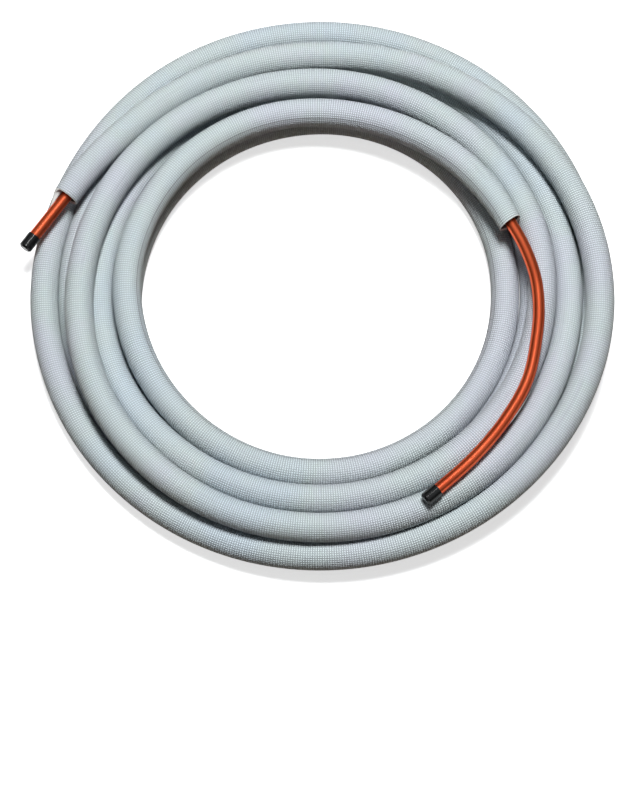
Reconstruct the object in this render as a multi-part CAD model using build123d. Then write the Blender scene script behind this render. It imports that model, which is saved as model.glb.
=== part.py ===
"""Coil of insulated copper tube: a turned ring of wound sleeve, with both tube ends bare and capped."""
from build123d import *
import math
import os

# All lengths are in millimetres and all angles in degrees.
# Origin: on the winding axis, at floor level. +Z is the winding axis, up.
# Winding angles run clockwise seen from above, from 0 on the -X side, as the tube is wound.

# Tube and insulation
tube_od = 12.7
tube_wall = 0.8
tube_clearance = 0.15
foam_wall = 9.0

# The soft sleeve is drawn with flat sides, so that its rows touch and rest on flats
sleeve_side_count = 12

# Winding
coil_od = 638.0
lower_row_count = 4
outside_row_count = 2

# Outer end: where its stacked turn starts from the ring, runs straight and is cut
outer_root_angle = 215.0
outer_leave_angle = 112.0
outer_straight_angle = 50.0
outer_cut_angle = 19.0
outer_cut_shift = 22.0
outer_bare_length = 60.0

# Crossing turn: where it climbs from its lower row, runs on top and moves in to the stacked row
crossing_root_angle = 165.0
crossing_top_angle = 218.0
crossing_leave_angle = 335.0
crossing_merge_angle = 405.0

# Inner end: where its stacked turn starts from the ring and is cut
inner_root_angle = 228.0
inner_leave_angle = 290.0
inner_cut_angle = 523.7

# Stops of the bare inner end: winding angle, shift outwards in rows, and rise in ride heights
inner_bare_stops = [(535.1, 0.18, 0.29), (554.8, 0.74, 0.94), (574.0, 1.13, 1.0), (603.9, 1.95, 1.0)]
ride_clearance = 1.3

# Roots of the end turns, bores at the cuts, and end caps
root_inset = 3.0
root_taper_length = 34.0
root_tip_od = 18.0
bore_depth = 45.0
bore_end_gap = 0.5
cap_wall = 0.9
cap_end_wall = 1.2
cap_length = 18.0
cap_clearance = 0.1
cap_chamfer = 2.0

bore_od = tube_od + 2 * tube_clearance
tube_bore = tube_od - 2 * tube_wall
sleeve_od = bore_od + 2 * foam_wall
lower_z = sleeve_od / 2
upper_z = lower_z + sleeve_od
row_radii = [(coil_od - sleeve_od) / 2 - index * sleeve_od for index in range(lower_row_count)]
stacked_radius = row_radii[outside_row_count]
outer_track = stacked_radius + sleeve_od
inner_track = stacked_radius - sleeve_od
ride_height = (sleeve_od + tube_od) / 2 + ride_clearance
cap_bore_od = tube_od + 2 * cap_clearance
cap_od = cap_bore_od + 2 * cap_wall
cap_depth = cap_length - cap_end_wall


def on_coil(radius, angle, z):
    """Point at a winding radius, winding angle and height."""
    turn = math.radians(angle)
    return Vector(-radius * math.cos(turn), radius * math.sin(turn), z)


def along_coil(angle):
    """Unit direction of the winding at an angle."""
    turn = math.radians(angle)
    return Vector(math.sin(turn), math.cos(turn), 0)


def sleeve_section(od):
    """Section of the sleeve, with a flat at its top, bottom and sides."""
    half_step = 180 / sleeve_side_count
    return RegularPolygon(od / 2, sleeve_side_count, major_radius=False, rotation=half_step)


def level_across(direction):
    """Sideways direction, level with the floor, for a section that is square to a direction."""
    return Vector(0, 0, 1).cross(direction)


def rod_along(path, section):
    """Rod of one section along a run of tangent arcs and lines."""
    across = level_across(path[0] % 0)
    rod = None
    for edge in path:
        start_direction = edge % 0
        face = Plane(origin=edge @ 0, x_dir=across, z_dir=start_direction) * section
        if edge.geom_type == GeomType.CIRCLE:
            normal = start_direction.cross(edge % 1)
            sweep_angle = math.degrees(edge.length / edge.radius)
            length = revolve(face, axis=Axis(edge.arc_center, normal), revolution_arc=sweep_angle)
            across = across.rotate(Axis((0, 0, 0), normal), sweep_angle)
        else:
            length = extrude(face, amount=edge.length)
        rod = length if rod is None else rod + length
    return rod


def turned(section, from_angle, to_angle):
    """Section turned about the winding axis, clockwise from one angle to the other."""
    solid = revolve(section, axis=Axis.Z, revolution_arc=to_angle - from_angle)
    return Rot(0, 0, 180 - to_angle) * solid


def row_section(radius, z):
    """Section of one row of the winding."""
    return Plane.XZ * (Pos(radius, z) * sleeve_section(sleeve_od))


def core_section(radius):
    """Section that closes the gap between a stacked turn, the stacked row and the rows under them."""
    middle = Pos((radius + stacked_radius) / 2, (lower_z + upper_z) / 2)
    return Plane.XZ * (middle * Rectangle(abs(radius - stacked_radius), upper_z - lower_z))


def make_ring():
    """The wound rows as one turned solid: the lower rows side by side, and the row stacked on them."""
    section = row_section(stacked_radius, upper_z)
    for radius in row_radii:
        section += row_section(radius, lower_z)
    return turned(section, 0, 360)


def make_stacked_turn(track, from_angle, to_angle):
    """Stretch of a turn that lies on the ring beside the stacked row."""
    return turned(row_section(track, upper_z) + core_section(track), from_angle, to_angle)


def make_root(track, leave_angle, row, row_z, root_angle):
    """Stretch of a stacked turn that leaves its track for a row of the ring and tapers out inside it."""
    sense = math.copysign(1, root_angle - leave_angle)
    start = on_coil(track, leave_angle, upper_z)
    inset = Vector(track - row, upper_z - row_z, 0).normalized() * root_inset
    entry = on_coil(row + inset.X, root_angle, row_z + inset.Y)
    arc = TangentArc(start, entry, tangent=along_coil(leave_angle) * sense)
    root = rod_along([arc], sleeve_section(sleeve_od))
    mouth = root.faces().sort_by_distance(arc @ 1)[0]
    tip_angle = root_angle + sense * math.degrees(root_taper_length / row)
    tip_direction = along_coil(tip_angle) * sense
    tip_plane = Plane(on_coil(row, tip_angle, row_z), x_dir=level_across(tip_direction), z_dir=tip_direction)
    return root + loft([mouth, tip_plane * sleeve_section(root_tip_od)])


def outer_cut_arc():
    """Path of the outer end turn where it straightens, up to its cut."""
    start = on_coil(outer_track, outer_straight_angle, upper_z)
    cut = on_coil(outer_track + outer_cut_shift, outer_cut_angle, upper_z)
    return TangentArc(start, cut, tangent=-along_coil(outer_straight_angle))


def inner_cut_arc():
    """Path of the inner end turn along its bore, up to its cut."""
    bore_angle = inner_cut_angle - math.degrees(bore_depth / inner_track)
    start = on_coil(inner_track, bore_angle, upper_z)
    return TangentArc(start, on_coil(inner_track, inner_cut_angle, upper_z), tangent=along_coil(bore_angle))


def last_part(edge, length):
    """Last part of an edge, of the given length."""
    return edge.trim(1 - length / edge.length, 1)


def into_cap(edge):
    """Straight end of the copper path, from the mouth of the cap to its end wall."""
    return Line(edge @ 1, edge @ 1 + edge % 1 * cap_depth)


def outer_tube_path():
    """Copper path at the outer end, from inside the sleeve to inside the cap."""
    inside = last_part(outer_cut_arc(), bore_depth - bore_end_gap)
    bare = Line(inside @ 1, inside @ 1 + inside % 1 * outer_bare_length)
    return [inside, bare, into_cap(bare)]


def inner_tube_path():
    """Copper path at the inner end: out of the sleeve, up over the stacked row and along it to the cap."""
    path = [last_part(inner_cut_arc(), bore_depth - bore_end_gap)]
    for angle, rows_out, heights_up in inner_bare_stops:
        stop = on_coil(inner_track + rows_out * sleeve_od, angle, upper_z + heights_up * ride_height)
        path.append(TangentArc(path[-1] @ 1, stop, tangent=path[-1] % 1))
    path.append(into_cap(path[-1]))
    return path


def make_sleeve():
    """Insulation: the turned ring, its crossing turn, its two end turns and the bores for the tube."""
    sleeve = make_ring()
    sleeve += make_stacked_turn(outer_track, outer_straight_angle, outer_leave_angle)
    sleeve += make_stacked_turn(inner_track, inner_leave_angle, inner_cut_angle)
    sleeve += make_stacked_turn(outer_track, crossing_top_angle, crossing_leave_angle)
    sleeve += rod_along([outer_cut_arc()], sleeve_section(sleeve_od))
    sleeve += make_root(outer_track, outer_leave_angle, row_radii[0], lower_z, outer_root_angle)
    sleeve += make_root(outer_track, crossing_top_angle, row_radii[1], lower_z, crossing_root_angle)
    sleeve += make_root(outer_track, crossing_leave_angle, stacked_radius, upper_z, crossing_merge_angle)
    sleeve += make_root(inner_track, inner_leave_angle, row_radii[-1], lower_z, inner_root_angle)
    sleeve -= rod_along([last_part(outer_cut_arc(), bore_depth)], Circle(bore_od / 2))
    sleeve -= rod_along([inner_cut_arc()], Circle(bore_od / 2))
    return sleeve


def make_tube(path):
    """One bare end of the copper tube."""
    return rod_along(path, Circle(tube_od / 2)) - rod_along(path, Circle(tube_bore / 2))


def make_cap(path):
    """Push-on cap over the end of the tube, its end wall against the tube."""
    seat = Plane(origin=path[-1] @ 1, z_dir=path[-1] % 1)
    to_end = (Align.CENTER, Align.CENTER, Align.MAX)
    body = Pos(0, 0, cap_end_wall) * Cylinder(cap_od / 2, cap_length, align=to_end)
    body = chamfer(body.faces().sort_by(Axis.Z)[-1].edges(), cap_chamfer)
    body -= Cylinder(cap_bore_od / 2, cap_depth, align=to_end)
    return seat * body


outer_path = outer_tube_path()
inner_path = inner_tube_path()
nodes = {
    "insulation_sleeve": make_sleeve(),
    "copper_tube": Compound([make_tube(outer_path).solid(), make_tube(inner_path).solid()]),
    "end_cap_outer": make_cap(outer_path),
    "end_cap_inner": make_cap(inner_path),
}
os.makedirs("parts", exist_ok=True)
for name, shape in nodes.items():
    export_step(shape, f"parts/{name}.step")
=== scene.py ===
"""Looks of the coil of insulated copper tube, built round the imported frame.

Names and tables are in millimetres and degrees, unless a comment says metres.
"""

import math

import bpy
import numpy as np
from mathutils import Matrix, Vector


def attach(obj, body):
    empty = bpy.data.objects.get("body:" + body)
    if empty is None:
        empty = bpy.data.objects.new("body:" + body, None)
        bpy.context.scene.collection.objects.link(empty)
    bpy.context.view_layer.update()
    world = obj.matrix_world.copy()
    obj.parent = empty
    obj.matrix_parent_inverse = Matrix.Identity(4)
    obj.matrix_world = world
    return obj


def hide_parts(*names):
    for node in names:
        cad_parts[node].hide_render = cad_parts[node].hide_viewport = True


MM = 0.001

# Winding of the sleeve. Angles run clockwise from above, from 0 at -X, and carry on past 360 from turn
# to turn. Each stop is (angle, winding radius, level), where level 0 lies on the floor, level 1 on one
# turn, and the highest levels lift the inner end over its neighbours.
SLEEVE_OD = 31.0
LOW_Z = SLEEVE_OD / 2
HIGH_Z = 46.3
STOPS = [
    # turn 1, from the outer cut: stacked, then slowly down to the floor as the outermost turn
    (18.5, 295.0, 1), (35, 277.0, 1), (50, 269.5, 1), (70, 264.0, 1), (90, 261.5, 1), (110, 267, 1),
    (130, 275, 1), (150, 286, 1), (170, 295.5, 1), (190, 302, 1), (210, 303.5, 0.85),
    (235, 303.5, 0.6), (255, 303.5, 0.42), (275, 303.5, 0.32), (300, 303.7, 0.12), (325, 304, 0),
    # turn 2
    (360, 302, 0), (370, 300, 0), (380, 298, 0), (390, 298.5, 0), (405, 301, 0), (420, 303, 0),
    (450, 303.4, 0), (480, 302, 0), (510, 299.5, 0), (535, 296, 0), (560, 289, 0), (580, 280, 0),
    (600, 272, 0), (620, 271, 0), (660, 272.3, 0), (690, 274.5, 0),
    # turn 3
    (717, 275.5, 0), (735, 274, 0), (780, 271, 0), (810, 270, 0), (831, 269.5, 0), (860, 267.5, 0),
    (882, 267, 0.1), (903, 270.5, 0.3), (925, 272.5, 0.8), (945, 275.5, 1), (982, 276.8, 1),
    (1009, 276.8, 1), (1040, 273.0, 1), (1056, 269, 1), (1065, 265.5, 1),
    # turn 4
    (1080, 259.5, 1), (1095.6, 253, 1), (1106, 248.5, 1), (1116, 243.8, 1), (1127, 239.2, 1),
    (1138, 235.2, 1), (1148.5, 232.4, 1), (1159, 230, 1), (1170, 228.6, 1), (1181, 227.8, 1),
    (1192, 227.0, 1), (1203, 227.4, 1), (1224, 230.5, 1), (1245, 235.2, 1), (1265, 237, 1),
    (1285, 240, 1), (1338, 247, 1), (1359, 248.2, 1), (1377, 247.5, 0.9), (1400, 244, 0.6),
    (1416, 242, 0.4),
    # turn 5
    (1440, 240, 0.3), (1485, 235, 0.25), (1530, 231, 0.15), (1603, 229.6, 0), (1623, 230.5, 0),
    (1643, 230, 0), (1680, 235, 0), (1710, 237, 0), (1740, 235, 0), (1770, 226, 0),
    # turn 6
    (1797, 215, 0), (1807, 211.4, 0), (1817, 208, 0), (1827, 205.6, 0), (1838, 203, 0),
    (1848, 201, 0), (1859, 199.8, 0), (1880, 197.8, 0), (1911, 197.9, 0), (1953, 199.2, 0),
    (1983, 201, 0), (2001, 205.3, 0), (2041, 215.5, 0.4), (2060, 220, 0.7), (2080, 222, 0.85),
    (2098, 220, 0.9), (2125, 215.5, 1), (2144, 212.8, 1),
    # turn 7, to the inner cut
    (2160, 211.2, 1), (2175, 206.8, 1), (2196, 202.8, 1), (2217, 198.6, 1), (2239, 194.9, 1),
    (2250, 193.0, 1), (2261, 192.2, 1.02), (2272, 192.5, 1.06), (2283, 194.4, 1.12),
    (2294, 198.0, 1.22), (2305, 202.4, 1.32), (2315, 207.8, 1.39), (2325.4, 214.4, 1.44),
]

# Settling of the turns. The stops pull on the winding in all but the last rounds, which only push the
# turns clear of each other, down to what the soft foam gives. Smoothing is in steps along the winding.
ANGLE_STEP = 2.0
FINE_STEP = ANGLE_STEP / 2
SETTLE_ROUNDS = 300
PULLED_ROUNDS = 261
STOP_PULL = 0.12
SOFT_CLOSING = 0.9
TURNS_APART = 6
RADIUS_SMOOTHING = 3.0
LEVEL_SMOOTHING = 4.0
ROUND_RADIUS_SMOOTHING = 2.0
ROUND_HEIGHT_SMOOTHING = 3.0
FINE_SMOOTHING = 1.5

# Section of the sleeve. Directions round the tube run from outwards over the top. A lobe is (number
# round the tube, phase in radians, height, smoothing, seed), a crease (winding angle, direction round
# the tube, depth, half length in degrees of winding).
SIDES = 36
LOBES = [(2, 1.0, 0.22, 14, 3), (3, 0.0, 0.15, 9, 5)]
CREASES = [
    (104.0, 60.0, 0.9, 0.5),
    (443.0, 80.0, 0.4, 0.5),
    (273.0, 112.0, 1.2, 0.7),
    (1905.0, 130.0, 0.6, 0.8),
]
CREASE_WIDTH = 0.35  # radians round the tube
TOUCH_GAP = 0.04

# Cuts. The sleeve narrows towards them. The profile goes from the rim in to the bore, as (share of the
# way, distance ahead of the cut), and its deeper rows, from a set row on, carry painted shade in the
# hollow of the foam.
PINCH_LENGTH = 70.0
PINCH_POWER = 1.5
OUTER_PINCH = 0.07
INNER_PINCH = 0.13
CUT_SLANT = 2.0
SLANT_LENGTH = 30.0
OUTER_SKEW = -0.06
INNER_SKEW = -0.16
CUT_PROFILE = [
    (0.06, 0.6), (0.14, 0.8), (0.22, 0.5), (0.30, -1.2),
    (0.48, -4.5), (0.75, -8.0), (1.0, -11.0),
]
DARK_SHADE_ROW = 4
BORE_OD = 14.6
BORE_START = 15.0
BORE_DEPTH = 45.0
TONGUE_AROUND = -8.0
TONGUE_LENGTH = 25.0
TONGUE_SPREAD = 66.0
TONGUE_ROUNDING = 0.8
TONGUE_SLOPE = 0.7
TONGUE_EDGE = 0.05
SKIN_KIND, CORE_KIND, SHADE_KIND = 0, 1, 2

# Bare copper: from the outer cut to inside its cap, and from the inner cut over the turns to its cap
TUBE_OD = 12.7
TUBE_WALL = 0.8
TUBE_SIDES = 32
END_BULGE = 0.3
OUTER_CUT = (-278.46, 95.88, 46.5)
OUTER_HEADING = (-0.5726, -0.8199, 0.0)
OUTER_BARE = 76.5
OUTER_POINTS = 24
IN_SLEEVE = 44.0
INNER_STARTS = (IN_SLEEVE, 30.0, 15.0)
INNER_ROUTE = [
    (219.2, 22.6, 65.0), (228.6, -14.0, 68.6), (230.0, -49.0, 69.4), (226.0, -82.0, 69.6),
    (216.5, -122.0, 69.6), (191.0, -168.0, 69.6), (158.0, -208.0, 69.6), (119.2, -243.3, 69.65),
    (106.7, -254.0, 70.04),
]
SPAN_POINTS = 8
WELD_DISTANCE = 0.00002  # metres

# Skin of the foam, in metres: square waffle, painted shade in its grooves and on the flanks, seam on the
# last turn, and scuffs. The waffle's lines along the tube are fainter than its rings.
GIRTH = math.pi * SLEEVE_OD * MM
SKIN_TINTS = [(0.36, (0.71, 0.80, 0.86, 1)), (0.5, (0.73, 0.81, 0.81, 1)), (0.64, (0.75, 0.78, 0.85, 1))]
GROOVE_PITCH = 0.0025
GROOVE_DEPTH = 0.0009
GROOVE_SHARPNESS = 2.5
LINE_STRENGTH = 0.7
# painted shade in the waffle's grooves
GROOVE_SHADE_COLOUR = (0.16, 0.17, 0.19, 1)
GROOVE_SHADE_STRENGTH = 0.5
# painted shade on the flanks of the sleeve
FLANK_SHADE_COLOUR = (0.24, 0.24, 0.24, 1)
FLANK_SHARPNESS = 2.5
FLANK_SHADE_STRENGTH = 0.32
SEAM_COLOUR = (0.16, 0.16, 0.17, 1)
SEAM_STRENGTH = 0.6
SEAM_SHARE = 0.385
SEAM_WIDTH = 0.0011
SEAM_LENGTH = 1.35
SCUFF_COLOUR = (0.36, 0.37, 0.43, 1)
SCUFF_STRETCH = (9.0, 120.0, 1.0)

# Colour stops of the cut foam, the painted shade in its hollow, the copper and the caps
CORE_TINTS = [(0, (0.60, 0.60, 0.58, 1)), (1, (0.84, 0.83, 0.80, 1))]
PAINTED_SHADE_TINTS = [(0, (0.06, 0.06, 0.06, 1)), (1, (0.12, 0.12, 0.12, 1))]
COPPER_TINTS = [(0.35, (0.54, 0.072, 0.017, 1)), (0.65, (0.66, 0.108, 0.031, 1))]
COPPER_EDGE = (0.55, 0.30, 0.22, 1)
CAP_TINTS = [(0, (0.003, 0.003, 0.003, 1)), (1, (0.007, 0.008, 0.008, 1))]

# Floor, in metres. It glows less near the coil, where its glow would show in the gaps between the turns.
FLOOR_SIZE = 12
FLOOR_Z = -0.0005
FLOOR_BOUNCE = (0.14, 0.085, 0.04, 1)
FLOOR_SEEN = (0.82, 0.82, 0.82, 1)
FLOOR_GLOW = {"From Min": 0.45, "From Max": 1.6, "To Min": 0.65, "To Max": 1.0}

# Sky and lamps, in metres and watts. Each lamp is (name, place, size, power, colour) and is aimed at the
# middle of the coil. The key lamp isn't mirrored in the copper, and the small glint lamp is.
SKY_COLOUR = (0.95, 0.97, 1, 1)
AMBIENT = 0.06
SKY_REFLECTION = {"From Min": 0.45, "From Max": 1.0, "To Min": 0.10, "To Max": 1.15}
LAMPS = [
    ("key", (0.1, 0.75, 2.9), 0.8, 98, (0.96, 0.99, 1.0)),
    ("fill", (-1.2, -0.3, 2.4), 1.6, 3, (0.92, 0.96, 1.0)),
    ("glint", (0.1, 0.5, 2.9), 0.2, 12, (1, 1, 1)),
]

# Camera: focal length in pixels of a frame 800 pixels high, point aimed at, and distance in metres
FOCAL_PIXELS = 2029.3
FRAME_HEIGHT = 800
SENSOR_HEIGHT = 36.0
CAMERA_ELEVATION = 73.12
CAMERA_AIM = (-5.7, -125.4, 0)
CAMERA_DISTANCE = 2.2

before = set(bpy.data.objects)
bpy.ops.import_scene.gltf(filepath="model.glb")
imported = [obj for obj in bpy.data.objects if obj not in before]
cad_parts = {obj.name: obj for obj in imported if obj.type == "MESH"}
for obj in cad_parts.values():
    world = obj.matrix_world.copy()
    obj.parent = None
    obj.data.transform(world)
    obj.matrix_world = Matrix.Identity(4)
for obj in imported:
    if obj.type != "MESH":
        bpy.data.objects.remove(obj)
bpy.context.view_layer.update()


def smooth(values, sigma, keep_slope=False):
    """Gaussian smoothing along the winding, which can keep the slope at both ends."""
    reach = int(3 * sigma) + 1
    weights = np.exp(-0.5 * (np.arange(-reach, reach + 1) / sigma) ** 2)
    before = np.full(reach, values[0])
    after = np.full(reach, values[-1])
    if keep_slope:
        before = 2 * values[0] - values[reach:0:-1]
        after = 2 * values[-1] - values[-2 : -reach - 2 : -1]
    return np.convolve(np.r_[before, values, after], weights / weights.sum(), "valid")


def settle_winding():
    """Winding angle, radius and height along the sleeve, with the turns pushed clear of each other."""
    stops = np.array(STOPS, float)
    steps = int(round((stops[-1, 0] - stops[0, 0]) / ANGLE_STEP)) + 1
    angle = np.linspace(stops[0, 0], stops[-1, 0], steps)
    radius_plan = smooth(np.interp(angle, stops[:, 0], stops[:, 1]), RADIUS_SMOOTHING, keep_slope=True)
    level_plan = smooth(np.interp(angle, stops[:, 0], stops[:, 2]), LEVEL_SMOOTHING, keep_slope=True)
    height_plan = LOW_Z + (HIGH_Z - LOW_Z) * level_plan
    per_turn = int(round(360 / ANGLE_STEP))
    closest = SLEEVE_OD - SOFT_CLOSING
    radius, height = radius_plan.copy(), height_plan.copy()
    for step in range(SETTLE_ROUNDS):
        if step < PULLED_ROUNDS:
            radius += STOP_PULL * (radius_plan - radius)
            height += STOP_PULL * (height_plan - height)
        out, up = np.zeros(steps), np.zeros(steps)
        for turns in range(1, TURNS_APART + 1):
            gap = turns * per_turn
            across, rise = radius[gap:] - radius[:-gap], height[gap:] - height[:-gap]
            apart = np.maximum(np.hypot(across, rise), 1e-6)
            push = np.where(apart < closest, (closest - apart) * 0.5, 0) / apart
            out[:-gap] -= push * across
            out[gap:] += push * across
            up[:-gap] -= push * rise
            up[gap:] += push * rise
        radius = radius_plan + smooth(radius + 0.5 * out - radius_plan, ROUND_RADIUS_SMOOTHING)
        height = height_plan + smooth(height + 0.5 * up - height_plan, ROUND_HEIGHT_SMOOTHING)
        height = np.maximum(height, LOW_Z)
    return angle, radius, height


def sleeve_line():
    """Winding angles in fine steps, and the points of the sleeve's centre line there."""
    coarse, radius, height = settle_winding()
    fine = np.arange(coarse[0], coarse[-1] + 1e-6, FINE_STEP)
    radius = smooth(np.interp(fine, coarse, radius), FINE_SMOOTHING, keep_slope=True)
    height = smooth(np.interp(fine, coarse, height), FINE_SMOOTHING, keep_slope=True)
    turn = np.radians(fine)
    return fine, np.stack([-radius * np.cos(turn), radius * np.sin(turn), height], -1)


def frames_along(points):
    """Arc length, tangent, and outward and upward directions along a path lying round the Z axis."""
    tangent = np.gradient(points, axis=0)
    tangent /= np.linalg.norm(tangent, axis=1)[:, None]
    length = np.r_[0, np.cumsum(np.linalg.norm(np.diff(points, axis=0), axis=1))]
    outward = points * (1, 1, 0)
    outward = outward - (outward * tangent).sum(1)[:, None] * tangent
    outward /= np.linalg.norm(outward, axis=1)[:, None]
    upward = np.cross(outward, tangent)
    upward *= np.sign(upward[:, 2])[:, None]
    return length, tangent, outward, upward


def spokes(first, second, turn):
    """Unit directions round a path from two directions across it, for one point or a row of points."""
    return np.cos(turn)[:, None] * first[..., None, :] + np.sin(turn)[:, None] * second[..., None, :]


def grid_faces(first, rows, columns, flip=False):
    """Quads between consecutive closed rings of points."""
    row, side = np.meshgrid(np.arange(rows - 1), np.arange(columns), indexing="ij")
    here, ahead, beside = row * columns, (row + 1) * columns, (side + 1) % columns
    quads = np.stack([here + side, here + beside, ahead + beside, ahead + side], -1)
    quads = quads.reshape(-1, 4) + first
    return quads[:, ::-1] if flip else quads


def noise_row(scale, seed):
    """Smooth random values along the sleeve, about -1 to 1."""
    values = smooth(np.random.default_rng(seed).normal(size=count), scale)
    return values / max(np.abs(values).max(), 1e-6)


def angle_from(direction):
    """Angle of each side of the sleeve from a direction round it, in radians from -pi to pi."""
    return (around - math.radians(direction) + math.pi) % (2 * math.pi) - math.pi


def sleeve_rings():
    """Rings of the skin: round, with low lobes and a few creases."""
    reach = half[:, None] + sum(
        rise * noise_row(run, seed)[:, None] * np.cos(number * around + phase)
        for number, phase, rise, run, seed in LOBES
    )
    for crease_angle, direction, depth, run in CREASES:
        along = np.exp(-(((angle - crease_angle) / run) ** 2))
        reach -= depth * along[:, None] * np.exp(-((angle_from(direction) / CREASE_WIDTH) ** 2))
    return centre[:, None] + reach[..., None] * spokes(outward, upward, around)


def press_turns(rings):
    """Flatten the skin where the turns touch each other and the floor."""
    per_turn = int(round(360 / FINE_STEP))
    for turns in [*range(-TURNS_APART, 0), *range(1, TURNS_APART + 1)]:
        other = np.arange(count) + turns * per_turn
        near = np.where((other >= 0) & (other < count))[0]
        between = centre[other[near]] - centre[near]
        apart = np.linalg.norm(between, axis=1)
        between /= apart[:, None]
        both = half[near] + half[other[near]]
        limit = np.where(apart < both, half[near] - (both - apart) / 2 - TOUCH_GAP, np.inf)
        past = np.einsum("ijk,ik->ij", rings[near] - centre[near][:, None], between) - limit[:, None]
        rings[near] -= np.maximum(past, 0)[..., None] * between[:, None]
    rings[..., 2] = np.maximum(rings[..., 2], 0.0)


def overhang(points, index, sense, skew):
    """Shift along the tube that slants a cut, so that its upper lip stands out over the lower one."""
    rise = (points - centre[index]) @ upward[index]
    aside = (points - centre[index]) @ outward[index]
    shift = rise * math.tan(math.radians(CUT_SLANT)) + aside * skew
    return shift[..., None] * sense * tangent[index]


def slant_cut(rings, cut, sense, skew):
    """Slant the last rings before a cut."""
    from_cut = np.abs(length - length[cut])
    for index in np.where(from_cut < SLANT_LENGTH)[0]:
        share = (1 - from_cut[index] / SLANT_LENGTH) ** 2
        rings[index] += overhang(rings[index], index, sense, skew) * share


def skin_uvs():
    """UVs of the skin's faces, in metres along the tube and round it."""
    row, side = np.meshgrid(np.arange(count - 1), np.arange(SIDES), indexing="ij")
    along = np.stack([length[row], length[row], length[row + 1], length[row + 1]], -1) * MM
    round_tube = np.stack([side, side + 1, side + 1, side], -1) / SIDES * GIRTH
    return np.stack([along, round_tube], -1).reshape(-1, 2)


def cut_end(rings, first, cut, sense, skew, tongue_around):
    """Points, faces and face kinds of a cut end.

    It has a thin lip, a hollow round the copper and a closed bore. A tongue of foam may run out along
    the tube.
    """
    tongue = np.zeros(SIDES)
    if tongue_around is not None:
        off = np.abs(angle_from(tongue_around))
        tongue = np.clip(1 - off / math.radians(TONGUE_SPREAD), 0, 1) ** TONGUE_ROUNDING
    skin = rings[cut] - centre[cut]
    bore = spokes(outward[cut], upward[cut], around) * BORE_OD / 2
    bore = bore + overhang(bore + centre[cut], cut, sense, skew)
    rows = [rings[cut]]
    for share, ahead in CUT_PROFILE:
        ahead = ahead * (1 - tongue) + tongue * TONGUE_LENGTH * share**TONGUE_SLOPE
        row = centre[cut] + skin * (1 - share) + bore * share
        rows.append(row + ahead[:, None] * sense * tangent[cut])
    depth = np.abs(length - length[cut])
    inside = np.where((depth > BORE_START) & (depth <= BORE_DEPTH))[0][::-sense]
    for index in inside:
        rows.append(centre[index] + spokes(outward[index], upward[index], around) * BORE_OD / 2)
    rows.append(np.repeat(centre[inside[-1]][None], SIDES, 0))
    faces = grid_faces(first, len(rows), SIDES, flip=sense < 0)
    row, side = np.divmod(np.arange(len(faces)), SIDES)
    # faces deep in the hollow and off the tongue get near-black painted shade
    kinds = np.where((row >= DARK_SHADE_ROW) & (tongue[side] < TONGUE_EDGE), SHADE_KIND, CORE_KIND)
    return np.concatenate(rows), faces, kinds


def sleeve_mesh():
    """Points, faces, UVs and face kinds of the whole sleeve."""
    rings = sleeve_rings()
    press_turns(rings)
    cuts = [(0, -1, OUTER_SKEW, TONGUE_AROUND), (count - 1, 1, INNER_SKEW, None)]
    for cut, sense, skew, _ in cuts:
        slant_cut(rings, cut, sense, skew)
    points, faces, uvs = [rings.reshape(-1, 3)], [grid_faces(0, count, SIDES)], [skin_uvs()]
    kinds = [np.full(len(faces[0]), SKIN_KIND)]
    for cut in cuts:
        end_points, end_faces, end_kinds = cut_end(rings, sum(map(len, points)), *cut)
        points.append(end_points)
        faces.append(end_faces)
        uvs.append(np.zeros((4 * len(end_faces), 2)))
        kinds.append(end_kinds)
    return [np.concatenate(parts) for parts in (points, faces, uvs, kinds)]


def spline_through(points):
    """Smooth curve through points, as a Catmull-Rom spline by chord length."""
    points = np.array(points, float)
    ends = np.vstack([2 * points[0] - points[1], points, 2 * points[-1] - points[-2]])
    knots = np.r_[0, np.cumsum(np.linalg.norm(np.diff(ends, axis=0), axis=1))]
    curve = []
    for i in range(1, len(ends) - 2):
        p0, p1, p2, p3 = ends[i - 1 : i + 3]
        t0, t1, t2, t3 = knots[i - 1 : i + 3]
        for t in np.linspace(t1, t2, SPAN_POINTS, endpoint=i == len(ends) - 3):
            a1 = (t1 - t) / (t1 - t0) * p0 + (t - t0) / (t1 - t0) * p1
            a2 = (t2 - t) / (t2 - t1) * p1 + (t - t1) / (t2 - t1) * p2
            a3 = (t3 - t) / (t3 - t2) * p2 + (t - t2) / (t3 - t2) * p3
            b1 = (t2 - t) / (t2 - t0) * a1 + (t - t0) / (t2 - t0) * a2
            b2 = (t3 - t) / (t3 - t1) * a2 + (t - t1) / (t3 - t1) * a3
            curve.append((t2 - t) / (t2 - t1) * b1 + (t - t1) / (t2 - t1) * b2)
    return np.array(curve)


def copper_paths():
    """Centre lines of the two bare ends, each from inside the sleeve to inside its cap."""
    outer_tip = np.array(OUTER_CUT) + np.array(OUTER_HEADING) * OUTER_BARE
    inside = np.searchsorted(length, IN_SLEEVE)
    outer = np.vstack([centre[inside:0:-2], np.linspace(centre[0], outer_tip, OUTER_POINTS)])
    inner_start = [centre[np.searchsorted(length, length[-1] - back)] for back in INNER_STARTS]
    return outer, spline_through(inner_start + INNER_ROUTE)


def tube_rings(path):
    """Outer wall, rounded ends and bore of a tube along a path, as one run of rings."""
    heading = np.gradient(path, axis=0)
    heading /= np.linalg.norm(heading, axis=1)[:, None]
    across = np.cross((0, 0, 1), heading)
    across /= np.linalg.norm(across, axis=1)[:, None]
    turn = np.linspace(0, 2 * math.pi, TUBE_SIDES, endpoint=False)
    ring = spokes(across, np.cross(heading, across), turn)
    outer, inner = TUBE_OD / 2, TUBE_OD / 2 - TUBE_WALL
    outer_wall = path[:, None] + ring * outer
    bore = path[:, None] + ring * inner
    far_end = path[-1] + ring[-1] * (outer + inner) / 2 + heading[-1] * END_BULGE
    near_end = path[0] + ring[0] * (outer + inner) / 2 - heading[0] * END_BULGE
    return np.concatenate([outer_wall, [far_end], bore[::-1], [near_end], outer_wall[:1]])


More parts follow.
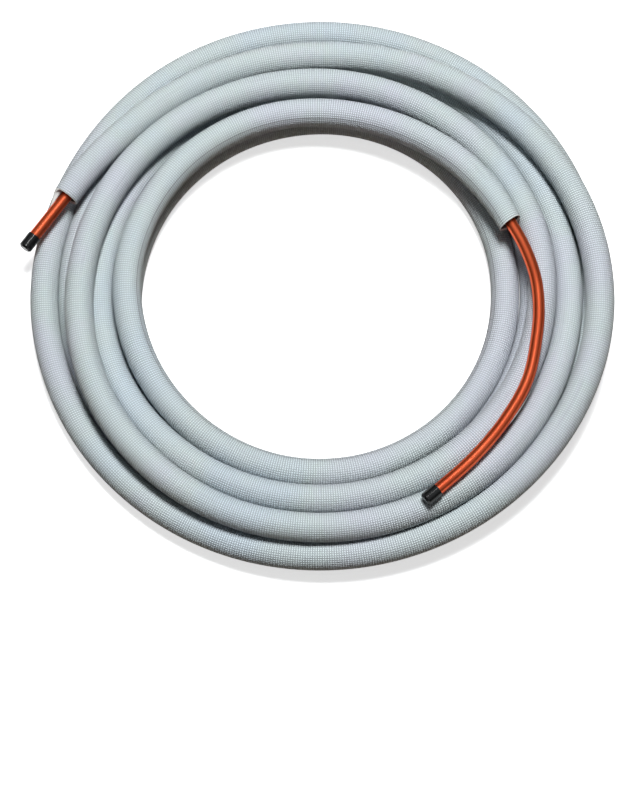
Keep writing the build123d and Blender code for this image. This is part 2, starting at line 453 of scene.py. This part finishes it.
def tube_mesh():
    """Points and faces of both stretches of copper tube."""
    points, faces = [], []
    for path in copper_paths():
        rings = tube_rings(path)
        faces.append(grid_faces(sum(map(len, points)), len(rings), TUBE_SIDES))
        points.append(rings.reshape(-1, 3))
    return np.concatenate(points), np.concatenate(faces)


def make_object(name, points, faces):
    """Smooth-shaded and welded mesh object from points in millimetres."""
    mesh = bpy.data.meshes.new(name)
    mesh.from_pydata((points * MM).tolist(), [], faces.tolist())
    mesh.polygons.foreach_set("use_smooth", np.ones(len(mesh.polygons), bool))
    mesh.update()
    obj = bpy.data.objects.new(name, mesh)
    bpy.context.scene.collection.objects.link(obj)
    weld = obj.modifiers.new("weld", "WELD")
    weld.merge_threshold = WELD_DISTANCE
    return obj


def feed(tree, value, socket):
    """Link a socket to another one, or set it to a plain number or colour."""
    if isinstance(value, (int, float, tuple)):
        socket.default_value = value
    else:
        tree.links.new(value, socket)


def set_inputs(node, **values):
    """Set a node's sockets to plain values, with an underscore for each space in a socket's name."""
    for name, value in values.items():
        node.inputs[name.replace("_", " ")].default_value = value


def maths(tree, operation, *values, clamp=False):
    """Output of a math node over numbers and sockets."""
    node = tree.nodes.new("ShaderNodeMath")
    node.operation = operation
    node.use_clamp = clamp
    for socket, value in zip(node.inputs, values):
        feed(tree, value, socket)
    return node.outputs[0]


def mixed(tree, first, second, factor, kind="RGBA"):
    """First colour or number, turned into the second by a factor."""
    node = tree.nodes.new("ShaderNodeMix")
    node.data_type = kind
    for name, value in (("Factor", factor), ("A", first), ("B", second)):
        feed(tree, value, node.inputs[name])
    return node.outputs["Result"]


def map_range(tree, value, limits):
    """Value brought from one range to another and kept inside it."""
    node = tree.nodes.new("ShaderNodeMapRange")
    for name, limit in limits.items():
        node.inputs[name].default_value = limit
    tree.links.new(value, node.inputs["Value"])
    return node.outputs[0]


def noise(tree, scale, detail=2.0, place=None):
    """Noise at a place, or else at the point of the object."""
    node = tree.nodes.new("ShaderNodeTexNoise")
    set_inputs(node, Scale=scale, Detail=detail)
    if place is None:
        place = tree.nodes.new("ShaderNodeTexCoord").outputs["Object"]
    tree.links.new(place, node.inputs["Vector"])
    return node.outputs[0]


def colour_ramp(tree, value, stops):
    """Colour that runs through (position, colour) stops as a value rises."""
    node = tree.nodes.new("ShaderNodeValToRGB")
    elements = node.color_ramp.elements
    for element, (position, colour) in zip(elements, (stops[0], stops[-1])):
        element.position = position
        element.color = colour
    for position, colour in stops[1:-1]:
        elements.new(position).color = colour
    tree.links.new(value, node.inputs[0])
    return node.outputs[0]


def add_bump(tree, shader, height, strength, distance):
    """Bump on a shader from a height, with its distance in metres."""
    node = tree.nodes.new("ShaderNodeBump")
    set_inputs(node, Strength=strength, Distance=distance)
    tree.links.new(height, node.inputs["Height"])
    tree.links.new(node.outputs[0], shader.inputs["Normal"])


def new_material(name):
    """Material with an emptied node tree and a Principled shader wired to its output."""
    material = bpy.data.materials.new(name)
    material.use_nodes = True
    tree = material.node_tree
    tree.nodes.clear()
    output = tree.nodes.new("ShaderNodeOutputMaterial")
    shader = tree.nodes.new("ShaderNodeBsdfPrincipled")
    tree.links.new(shader.outputs[0], output.inputs[0])
    return material, tree, shader


def groove(tree, coordinate, per_metre):
    """Grooves across a UV coordinate, 1 at their bottom and 0 half way between them."""
    wave = maths(tree, "COSINE", maths(tree, "MULTIPLY", coordinate, 2 * math.pi * per_metre))
    return maths(tree, "POWER", maths(tree, "MULTIPLY_ADD", wave, 0.5, 0.5), GROOVE_SHARPNESS)


def foam_skin(seam_start):
    """Embossed grey-white film: a square waffle with painted shade in its grooves and flanks, soft tints
    and scuffs.
    """
    material, tree, shader = new_material("foam_skin")
    uv = tree.nodes.new("ShaderNodeUVMap")
    uv.uv_map = "UVMap"
    split = tree.nodes.new("ShaderNodeSeparateXYZ")
    tree.links.new(uv.outputs[0], split.inputs[0])
    along, round_tube = split.outputs[0], split.outputs[1]

    rings = groove(tree, along, 1 / GROOVE_PITCH)
    lines = groove(tree, round_tube, round(GIRTH / GROOVE_PITCH) / GIRTH)
    grooves = maths(tree, "MAXIMUM", rings, maths(tree, "MULTIPLY", lines, LINE_STRENGTH))
    pillows = maths(tree, "SUBTRACT", 1.0, grooves)
    add_bump(tree, shader, pillows, strength=1.0, distance=GROOVE_DEPTH)
    colour = colour_ramp(tree, noise(tree, scale=7.0, detail=3.0), SKIN_TINTS)
    # painted shade in the grooves
    colour = mixed(tree, colour, GROOVE_SHADE_COLOUR, maths(tree, "MULTIPLY", grooves, GROOVE_SHADE_STRENGTH))

    # painted shade: the flanks, where turns touch, are darker than the crowns
    turned = maths(tree, "COSINE", maths(tree, "MULTIPLY", round_tube, 2 * math.pi / GIRTH))
    flank_shade = maths(tree, "POWER", maths(tree, "ABSOLUTE", turned), FLANK_SHARPNESS)
    colour = mixed(tree, colour, FLANK_SHADE_COLOUR, maths(tree, "MULTIPLY", flank_shade, FLANK_SHADE_STRENGTH))

    # lengthwise seam of the sleeve, seen on the last turn
    aside = maths(tree, "ABSOLUTE", maths(tree, "SUBTRACT", round_tube, SEAM_SHARE * GIRTH))
    line = maths(tree, "SUBTRACT", 1.0, maths(tree, "DIVIDE", aside, SEAM_WIDTH), clamp=True)
    seam = maths(tree, "MULTIPLY", line, maths(tree, "GREATER_THAN", along, seam_start))
    colour = mixed(tree, colour, SEAM_COLOUR, maths(tree, "MULTIPLY", seam, SEAM_STRENGTH))

    # long faint scuffs
    stretch = tree.nodes.new("ShaderNodeMapping")
    set_inputs(stretch, Scale=SCUFF_STRETCH)
    tree.links.new(uv.outputs[0], stretch.inputs["Vector"])
    streaks = noise(tree, scale=1.0, detail=4.0, place=stretch.outputs[0])
    worn = map_range(tree, streaks, {"From Min": 0.60, "From Max": 0.80, "To Max": 0.35})
    colour = mixed(tree, colour, SCUFF_COLOUR, worn)
    tree.links.new(colour, shader.inputs["Base Color"])
    set_inputs(shader, Roughness=0.62, Specular_IOR_Level=0.2)
    return material


def cut_foam(name, tints):
    """Cut foam: matt and finely pitted."""
    material, tree, shader = new_material(name)
    pits = noise(tree, scale=900.0)
    tree.links.new(colour_ramp(tree, pits, tints), shader.inputs["Base Color"])
    add_bump(tree, shader, pits, strength=0.4, distance=0.0003)
    set_inputs(shader, Roughness=0.9)
    return material


def drawn_copper():
    """Drawn copper: glossy orange-red, faintly clouded and tarnished."""
    material, tree, shader = new_material("drawn_copper")
    clouds = noise(tree, scale=14.0)
    colour = colour_ramp(tree, clouds, COPPER_TINTS)
    tree.links.new(colour, shader.inputs["Base Color"])
    roughness = map_range(tree, clouds, {"To Min": 0.34, "To Max": 0.44})
    tree.links.new(roughness, shader.inputs["Roughness"])
    set_inputs(shader, Metallic=1.0, Specular_Tint=COPPER_EDGE, Coat_Weight=0.4, Coat_Roughness=0.28)
    return material


def cap_plastic():
    """Black moulded vinyl: glossy, slightly dimpled."""
    material, tree, shader = new_material("cap_plastic")
    dimples = noise(tree, scale=160.0)
    tree.links.new(colour_ramp(tree, dimples, CAP_TINTS), shader.inputs["Base Color"])
    add_bump(tree, shader, dimples, strength=0.06, distance=0.0004)
    set_inputs(shader, Roughness=0.2, Specular_IOR_Level=0.25)
    return material


def floor_material():
    """White floor that shows white to the camera and in reflections, and keeps the shadow."""
    material, tree, shader = new_material("floor_white")
    rays = tree.nodes.new("ShaderNodeLightPath")
    seen = rays.outputs["Is Camera Ray"]
    for ray in ("Is Glossy Ray", "Is Transmission Ray"):
        seen = maths(tree, "MAXIMUM", seen, rays.outputs[ray])
    tree.links.new(mixed(tree, FLOOR_BOUNCE, FLOOR_SEEN, seen), shader.inputs["Base Color"])
    place = tree.nodes.new("ShaderNodeTexCoord")
    distance = tree.nodes.new("ShaderNodeVectorMath")
    distance.operation = "LENGTH"
    tree.links.new(place.outputs["Object"], distance.inputs[0])
    glow = maths(tree, "MULTIPLY", seen, map_range(tree, distance.outputs["Value"], FLOOR_GLOW))
    tree.links.new(glow, shader.inputs["Emission Strength"])
    set_inputs(shader, Roughness=0.7, Emission_Color=(1, 1, 1, 1))
    return material


def make_sky():
    """Pale sky: faint as a light, brighter upwards in reflections, and white to the camera."""
    world = bpy.data.worlds.new("world")
    bpy.context.scene.world = world
    world.use_nodes = True
    tree = world.node_tree
    rays = tree.nodes.new("ShaderNodeLightPath")
    direction = tree.nodes.new("ShaderNodeTexCoord")
    split = tree.nodes.new("ShaderNodeSeparateXYZ")
    tree.links.new(direction.outputs["Generated"], split.inputs[0])
    reflected = map_range(tree, split.outputs[2], SKY_REFLECTION)
    level = AMBIENT
    for ray, shown in (("Glossy", reflected), ("Transmission", 1.0), ("Camera", 1.0)):
        level = mixed(tree, level, shown, rays.outputs[f"Is {ray} Ray"], "FLOAT")
    background = tree.nodes["Background"]
    background.inputs["Color"].default_value = SKY_COLOUR
    tree.links.new(level, background.inputs["Strength"])


def area_light(name, place, size, power, colour):
    """Square area lamp, aimed at the middle of the coil."""
    lamp = bpy.data.lights.new(name, "AREA")
    lamp.size = size
    lamp.energy = power
    lamp.color = colour
    obj = bpy.data.objects.new(name, lamp)
    obj.location = place
    obj.rotation_euler = (-Vector(place)).to_track_quat("-Z", "Y").to_euler()
    bpy.context.scene.collection.objects.link(obj)
    return obj


def make_camera():
    """Camera that looks at the coil from in front and above."""
    data = bpy.data.cameras.new("camera")
    data.sensor_fit = "VERTICAL"
    data.sensor_height = SENSOR_HEIGHT
    data.lens = SENSOR_HEIGHT * FOCAL_PIXELS / FRAME_HEIGHT
    data.clip_start, data.clip_end = 0.1, 50
    camera = bpy.data.objects.new("camera", data)
    bpy.context.scene.collection.objects.link(camera)
    elevation = math.radians(CAMERA_ELEVATION)
    aim = Vector(CAMERA_AIM) * MM
    camera.location = aim + Vector((0, -math.cos(elevation), math.sin(elevation))) * CAMERA_DISTANCE
    camera.rotation_euler = (aim - camera.location).to_track_quat("-Z", "Y").to_euler()
    bpy.context.scene.camera = camera


angle, centre = sleeve_line()
length, tangent, outward, upward = frames_along(centre)
count = len(angle)
around = np.linspace(0, 2 * math.pi, SIDES, endpoint=False)
half = np.full(count, SLEEVE_OD / 2)
for from_cut, pinch in ((length, OUTER_PINCH), (length[-1] - length, INNER_PINCH)):
    half *= 1 - pinch * np.clip(1 - from_cut / PINCH_LENGTH, 0, 1) ** PINCH_POWER

winding_points, winding_faces, winding_uvs, face_kinds = sleeve_mesh()
winding = make_object("sleeve_winding", winding_points, winding_faces)
winding.data.uv_layers.new(name="UVMap").data.foreach_set("uv", winding_uvs.astype(np.float32).ravel())
winding.data.materials.append(foam_skin(float(length[-1]) * MM - SEAM_LENGTH))
winding.data.materials.append(cut_foam("foam_core", CORE_TINTS))
# near-black painted shade in the hollows at the cuts
winding.data.materials.append(cut_foam("foam_painted_shade", PAINTED_SHADE_TINTS))
winding.data.polygons.foreach_set("material_index", face_kinds.astype(np.int32))
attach(winding, "root")
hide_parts("insulation_sleeve")

copper_pipe = make_object("copper_pipe", *tube_mesh())
copper_pipe.data.materials.append(drawn_copper())
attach(copper_pipe, "root")
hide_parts("copper_tube")

cap = cap_plastic()
for node in ("end_cap_outer", "end_cap_inner"):
    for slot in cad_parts[node].material_slots:
        slot.material = cap

bpy.ops.mesh.primitive_plane_add(size=FLOOR_SIZE, location=(0, 0, FLOOR_Z))
floor = bpy.context.object
floor.name = "floor"
floor.data.materials.append(floor_material())

make_sky()
for lamp in LAMPS:
    light = area_light(*lamp)
    light.visible_glossy = light.name != "key"
make_camera()
bpy.context.scene.view_settings.view_transform = "Standard"
